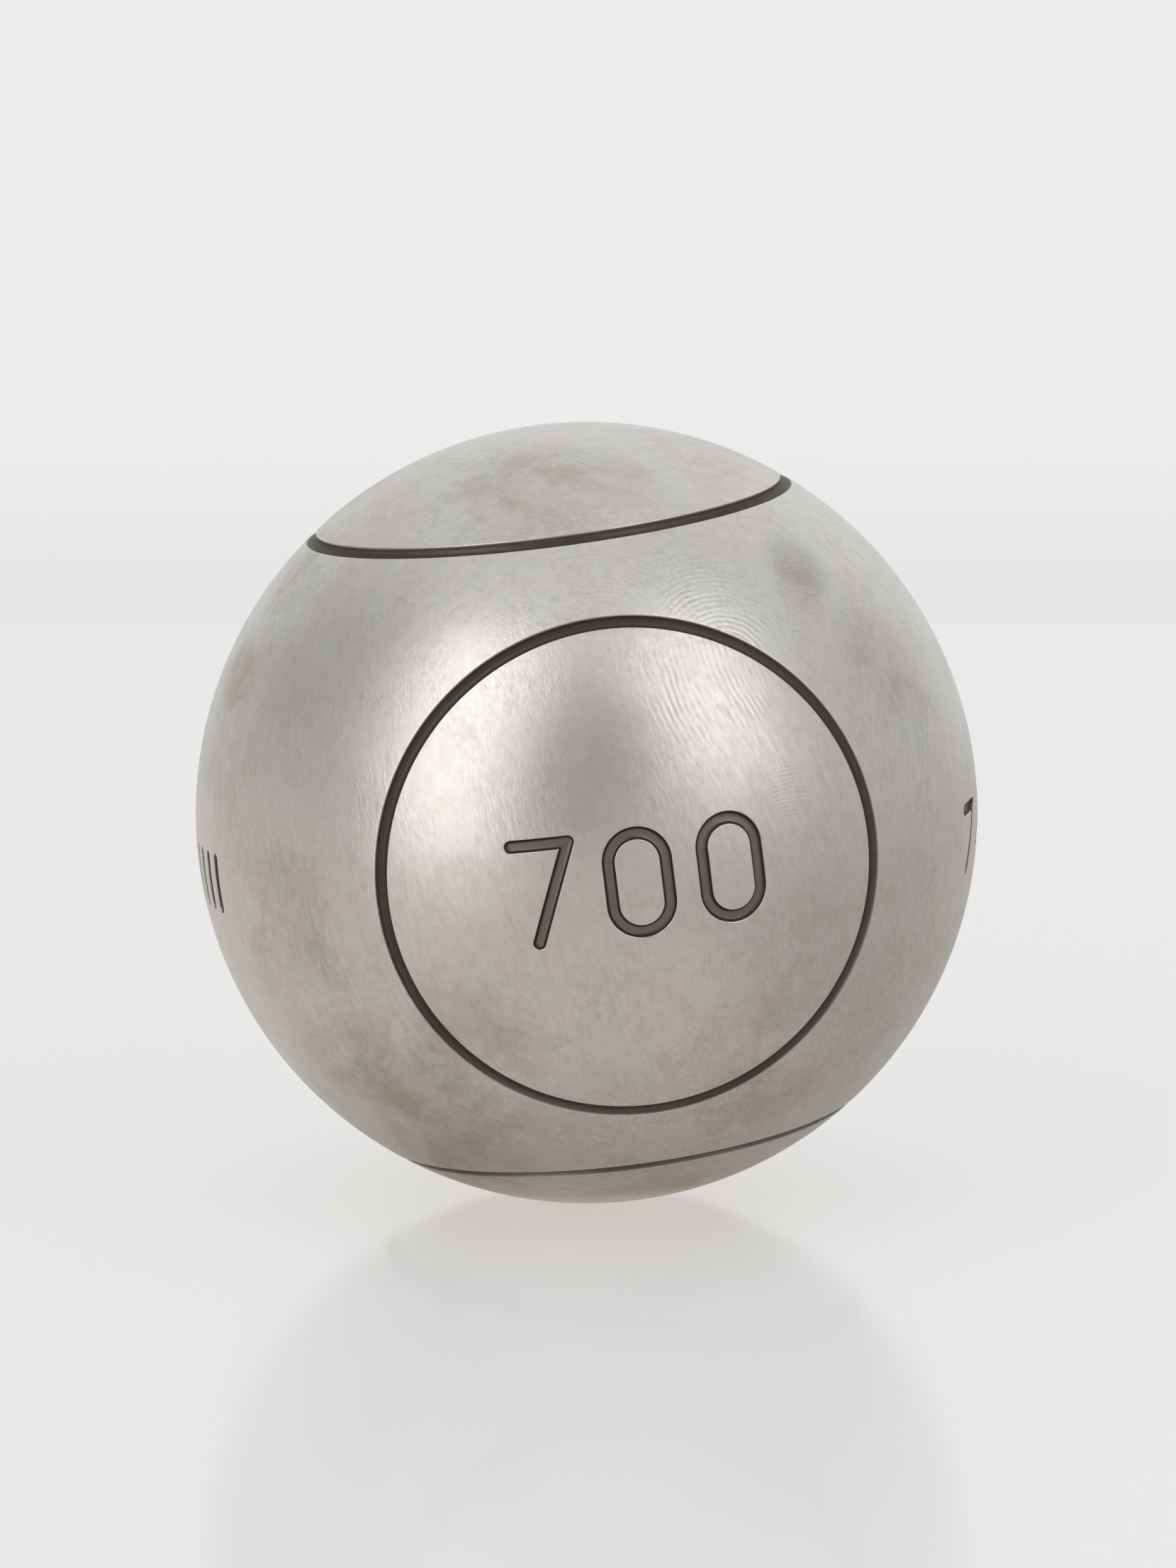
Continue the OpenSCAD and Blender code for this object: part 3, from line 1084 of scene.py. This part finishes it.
# The photograph's camera: its distance, and its direction from the ball
CAMERA_DISTANCE = 606 * MM
CAMERA_TURN = radians(-7.4)
CAMERA_RISE = radians(9.6)
CAMERA_LENS = 146.7
AIM_UP = 2.7 * MM
AIM_RIGHT = 0.13 * MM
NEAREST_SEEN = 10 * MM
FARTHEST_SEEN = 20000 * MM

# The table's edges, measured from under the ball
TABLE_SIDE = 3000 * MM
TABLE_FRONT = -3000 * MM
TABLE_BACK = 384 * MM

# Softboxes: turn and rise in degrees, distance, width and height
LEFT_SOFTBOX = (-49, 28, 1000 * MM, 650 * MM, 1100 * MM)
RIGHT_SOFTBOX = (35, 38, 1000 * MM, 520 * MM, 850 * MM)


def add_camera():
    towards = direction_of(CAMERA_TURN, CAMERA_RISE)
    turn = (-towards).to_track_quat("-Z", "Y")
    aim = turn @ Vector((AIM_RIGHT, AIM_UP, 0))
    data = bpy.data.cameras.new("camera")
    data.lens = CAMERA_LENS
    data.clip_start = NEAREST_SEEN
    data.clip_end = FARTHEST_SEEN
    camera = bpy.data.objects.new("camera", data)
    camera.location = towards * CAMERA_DISTANCE + aim
    camera.rotation_mode = "QUATERNION"
    camera.rotation_quaternion = turn
    bpy.context.scene.collection.objects.link(camera)
    bpy.context.scene.camera = camera


def add_softbox(name, place, energy):
    """Soft rectangular lamp that faces the ball."""
    turn, rise, distance, width, height = place
    data = bpy.data.lights.new(name, "AREA")
    data.shape = "RECTANGLE"
    data.size = width
    data.size_y = height
    data.energy = energy
    lamp = bpy.data.objects.new(name, data)
    away = direction_of(radians(turn), radians(rise))
    lamp.location = away * distance
    lamp.rotation_mode = "QUATERNION"
    lamp.rotation_quaternion = away.to_track_quat("Z", "Y")
    lamp.visible_camera = False
    bpy.context.scene.collection.objects.link(lamp)


def seen_rays(graph):
    """1 for camera, glossy and transmission rays, and 0 for the rest."""
    rays = [graph.node("ShaderNodeLightPath", None, None, name)
            for name in ("Is Camera Ray", "Is Glossy Ray", "Is Transmission Ray")]
    return graph.math("MAXIMUM", graph.math("MAXIMUM", rays[0], rays[1]), rays[2])


# Light tent that the steel reflects: the levels of its sides, how far a way points to a side where that
# side's level starts and where it is full, and the heights between which the left side changes
RIGHT_LEVEL = (0.66, 0.655, 0.64, 1.0)
RIGHT_START = (0.5, 1.0)
LEFT_LEVEL = (0.47, 0.463, 0.445, 1.0)
LOW_LEFT_LEVEL = (0.67, 0.66, 0.635, 1.0)
LEFT_START = (0.35, 0.9)
LEFT_HEIGHTS = (-0.1, 0.35)

# Soft places in the tent, by their turn, rise and reach in degrees, and their level: the dark one where the
# camera stands, a bright one high at the back and a dim one on the left
TENT_PLACES = (
    (-12, 25, 38, (0.367, 0.35, 0.328, 1.0)),
    (155, 30, 38, (0.97, 0.97, 0.97, 1.0)),
    (-80, 20, 32, (0.58, 0.575, 0.555, 1.0)),
)

# Even fill that lights all that isn't metal, and the backdrop's lower part with the heights where it ends
FILL_LEVEL = (0.62, 0.62, 0.62, 1.0)
LOW_BACKDROP = (0.79, 0.79, 0.787, 1.0)
LOW_BACKDROP_HEIGHTS = (-0.145, -0.105)

# Painted shadow in the table's glow round the ball's foot, darker and warmer than the rest, and how far it
# reaches; and the table's soft gloss
PAINTED_SHADOW_GLOW = (0.6, 0.575, 0.545, 1.0)
PAINTED_SHADOW_REACH = 50 * MM
TABLE_IOR = 1.33
TABLE_GLOSS_SHARE = 0.8
TABLE_ROUGHNESS = 0.14

# What the steel reflects of that glow, with painted light and shade in it: a painted warm tint, and shares
# that go from the third number to the fourth between two distances, which are to the right (painted shade),
# from the foot (painted shadow of the ball), from the foot again (painted light at the contact) and to the
# back (painted light)
PAINTED_WARM_REFLECTION = (1.05, 1.0, 0.93, 1.0)
RIGHT_PAINTED_SHADE = (10 * MM, 50 * MM, 0.82, 0.53)
FOOT_PAINTED_SHADOW = (0.4 * BALL_RADIUS, 1.35 * BALL_RADIUS, 0.68, 1.0)
CONTACT_PAINTED_LIGHT = (0.15 * BALL_RADIUS, 0.46 * BALL_RADIUS, 1.7, 1.0)
BACK_PAINTED_LIGHT = (-20 * MM, 50 * MM, 1.0, 1.14)


def add_world(backdrop):
    """Pale backdrop for the camera, a light tent for the steel to reflect, and an even fill for the rest."""
    world = bpy.data.worlds.new("studio")
    graph = emptied_graph(world)
    way = graph.node("ShaderNodeTexCoord", None, None, "Generated")
    right = graph.part(way, "X")
    height = graph.part(way, "Z")
    shown = graph.blend(graph.ease(height, *LOW_BACKDROP_HEIGHTS), LOW_BACKDROP, backdrop)
    tent = graph.blend(graph.ease(right, *RIGHT_START), backdrop, RIGHT_LEVEL)
    left_level = graph.blend(graph.ease(height, *LEFT_HEIGHTS), LOW_LEFT_LEVEL, LEFT_LEVEL)
    tent = graph.blend(graph.ease(right * -1.0, *LEFT_START), tent, left_level)
    for turn, rise, reach, level in TENT_PLACES:
        middle = tuple(direction_of(radians(turn), radians(rise)))
        towards = graph.vector("DOT_PRODUCT", way, middle, output="Value")
        tent = graph.blend(graph.ease(towards, cos(radians(reach)), 1.0), tent, level)
    camera_ray = graph.node("ShaderNodeLightPath", None, None, "Is Camera Ray")
    seen = graph.blend(camera_ray, tent, shown)
    background = graph.node("ShaderNodeBackground", None, {
        "Color": graph.blend(seen_rays(graph), FILL_LEVEL, seen), "Strength": 1.0})
    graph.node("ShaderNodeOutputWorld", None, {"Surface": background})
    bpy.context.scene.world = world


def table_finish(table, glow):
    """Smooth pale table, lit from below as well, with a soft mirror image of what lies on it. Its glow
    carries a painted shadow round the ball's foot, and painted light and shade where the steel reflects it.
    """
    material = bpy.data.materials.new("white_table")
    graph = emptied_graph(material)
    camera_ray = graph.node("ShaderNodeLightPath", None, None, "Is Camera Ray")
    place = graph.node("ShaderNodeTexCoord", None, None, "Object")
    from_foot = graph.distance(place, (0.0, 0.0, -BALL_RADIUS))
    # Painted shadow: the table's glow turns darker and warmer towards the ball's foot.
    glow_with_painted_shadow = graph.blend(graph.ease(from_foot, 0.0, PAINTED_SHADOW_REACH, 1.0, 0.0), glow, PAINTED_SHADOW_GLOW)
    # Painted light and shade in what the steel reflects of the table: darker to the right and round the
    # foot, brighter at the contact and towards the back.
    painted_light_and_shade = graph.ease(graph.part(place, "X"), *RIGHT_PAINTED_SHADE)
    painted_light_and_shade = painted_light_and_shade * graph.ease(from_foot, *FOOT_PAINTED_SHADOW)
    painted_light_and_shade = painted_light_and_shade * graph.ease(from_foot, *CONTACT_PAINTED_LIGHT)
    painted_light_and_shade = painted_light_and_shade * graph.ease(graph.part(place, "Y"), *BACK_PAINTED_LIGHT)
    # Painted warm tint in the table's glow as the steel reflects it.
    tinted = graph.blend(1.0, glow_with_painted_shadow, PAINTED_WARM_REFLECTION, "MULTIPLY")
    mirrored = graph.blend(seen_rays(graph) * painted_light_and_shade, (0.0, 0.0, 0.0, 1.0), tinted)
    body = graph.node("ShaderNodeBsdfPrincipled", None, {
        "Base Color": table, "Roughness": 0.9, "Specular IOR Level": 0.0, "Emission Strength": 1.0,
        "Emission Color": graph.blend(camera_ray, mirrored, glow_with_painted_shadow)})
    gloss = graph.node("ShaderNodeBsdfAnisotropic", None, {
        "Color": (1.0, 1.0, 1.0, 1.0), "Roughness": TABLE_ROUGHNESS})
    fresnel = graph.node("ShaderNodeFresnel", None, {"IOR": TABLE_IOR})
    shader = graph.node("ShaderNodeMixShader", None, {0: fresnel * TABLE_GLOSS_SHARE, 1: body, 2: gloss})
    graph.node("ShaderNodeOutputMaterial", None, {"Surface": shader})
    return material


def add_table(level, finish):
    """Table whose back edge lies square to the camera's view."""
    mesh = bpy.data.meshes.new("table")
    corners = [(-TABLE_SIDE, TABLE_FRONT), (TABLE_SIDE, TABLE_FRONT),
               (TABLE_SIDE, TABLE_BACK), (-TABLE_SIDE, TABLE_BACK)]
    turn = Matrix.Rotation(CAMERA_TURN, 3, "Z")
    mesh.from_pydata([turn @ Vector((x, y, level)) for x, y in corners], [], [(0, 1, 2, 3)])
    mesh.materials.append(finish)
    table = bpy.data.objects.new("table", mesh)
    bpy.context.scene.collection.objects.link(table)


# Operators, panel and registration


class BOULE_OT_half_shells(bpy.types.Operator):
    """Build the front and back half shells with their engraving"""

    bl_idname = "boule.half_shells"
    bl_label = "Half Shells"

    def execute(self, context):
        skin = engraved_skin(context.scene.boule_sizes)
        for side, node in ((-1, "front_half_shell"), (1, "back_half_shell")):
            half_shell(skin, side).finish(node, "shell_steel")
        return {"FINISHED"}


class BOULE_OT_weld_bead(bpy.types.Operator):
    """Build the weld bead that joins the half shells"""

    bl_idname = "boule.weld_bead"
    bl_label = "Weld Bead"

    def execute(self, context):
        skin = engraved_skin(context.scene.boule_sizes)
        weld_ring(skin).finish("weld_bead", "weld_steel")
        return {"FINISHED"}


class BOULE_OT_studio(bpy.types.Operator):
    """Set up the table, the lamps, the backdrop and the camera"""

    bl_idname = "boule.studio"
    bl_label = "Studio"

    def execute(self, context):
        studio = context.scene.boule_studio
        context.scene.view_settings.view_transform = "Standard"
        add_camera()
        add_world((*studio.backdrop, 1.0))
        add_table(-BALL_RADIUS, table_finish((*studio.table, 1.0), (*studio.table_glow, 1.0)))
        add_softbox("left_softbox", LEFT_SOFTBOX, studio.left_power)
        add_softbox("right_softbox", RIGHT_SOFTBOX, studio.right_power)
        return {"FINISHED"}


class BOULE_PT_panel(bpy.types.Panel):
    """Lists the steps that build the boule"""

    bl_idname = "BOULE_PT_panel"
    bl_label = "Boule"
    bl_space_type = "VIEW_3D"
    bl_region_type = "UI"
    bl_category = "Boule"

    def draw(self, context):
        for step in STEPS:
            self.layout.operator(step.bl_idname)
        for group in GROUPS:
            for name in group.__annotations__:
                self.layout.prop(getattr(context.scene, GROUPS[group]), name)


STEPS = (BOULE_OT_studio, BOULE_OT_half_shells, BOULE_OT_weld_bead)
GROUPS = {BouleSizes: "boule_sizes", BouleColours: "boule_colours", BouleStudio: "boule_studio"}


def register():
    for group, name in GROUPS.items():
        bpy.utils.register_class(group)
        setattr(bpy.types.Scene, name, PointerProperty(type=group))
    for step in (*STEPS, BOULE_PT_panel):
        bpy.utils.register_class(step)


def unregister():
    for step in (BOULE_PT_panel, *reversed(STEPS)):
        bpy.utils.unregister_class(step)
    for group, name in reversed(GROUPS.items()):
        delattr(bpy.types.Scene, name)
        bpy.utils.unregister_class(group)


def main():
    register()
    bpy.ops.boule.studio()
    bpy.ops.boule.half_shells()
    bpy.ops.boule.weld_bead()


if __name__ == "__main__":
    main()
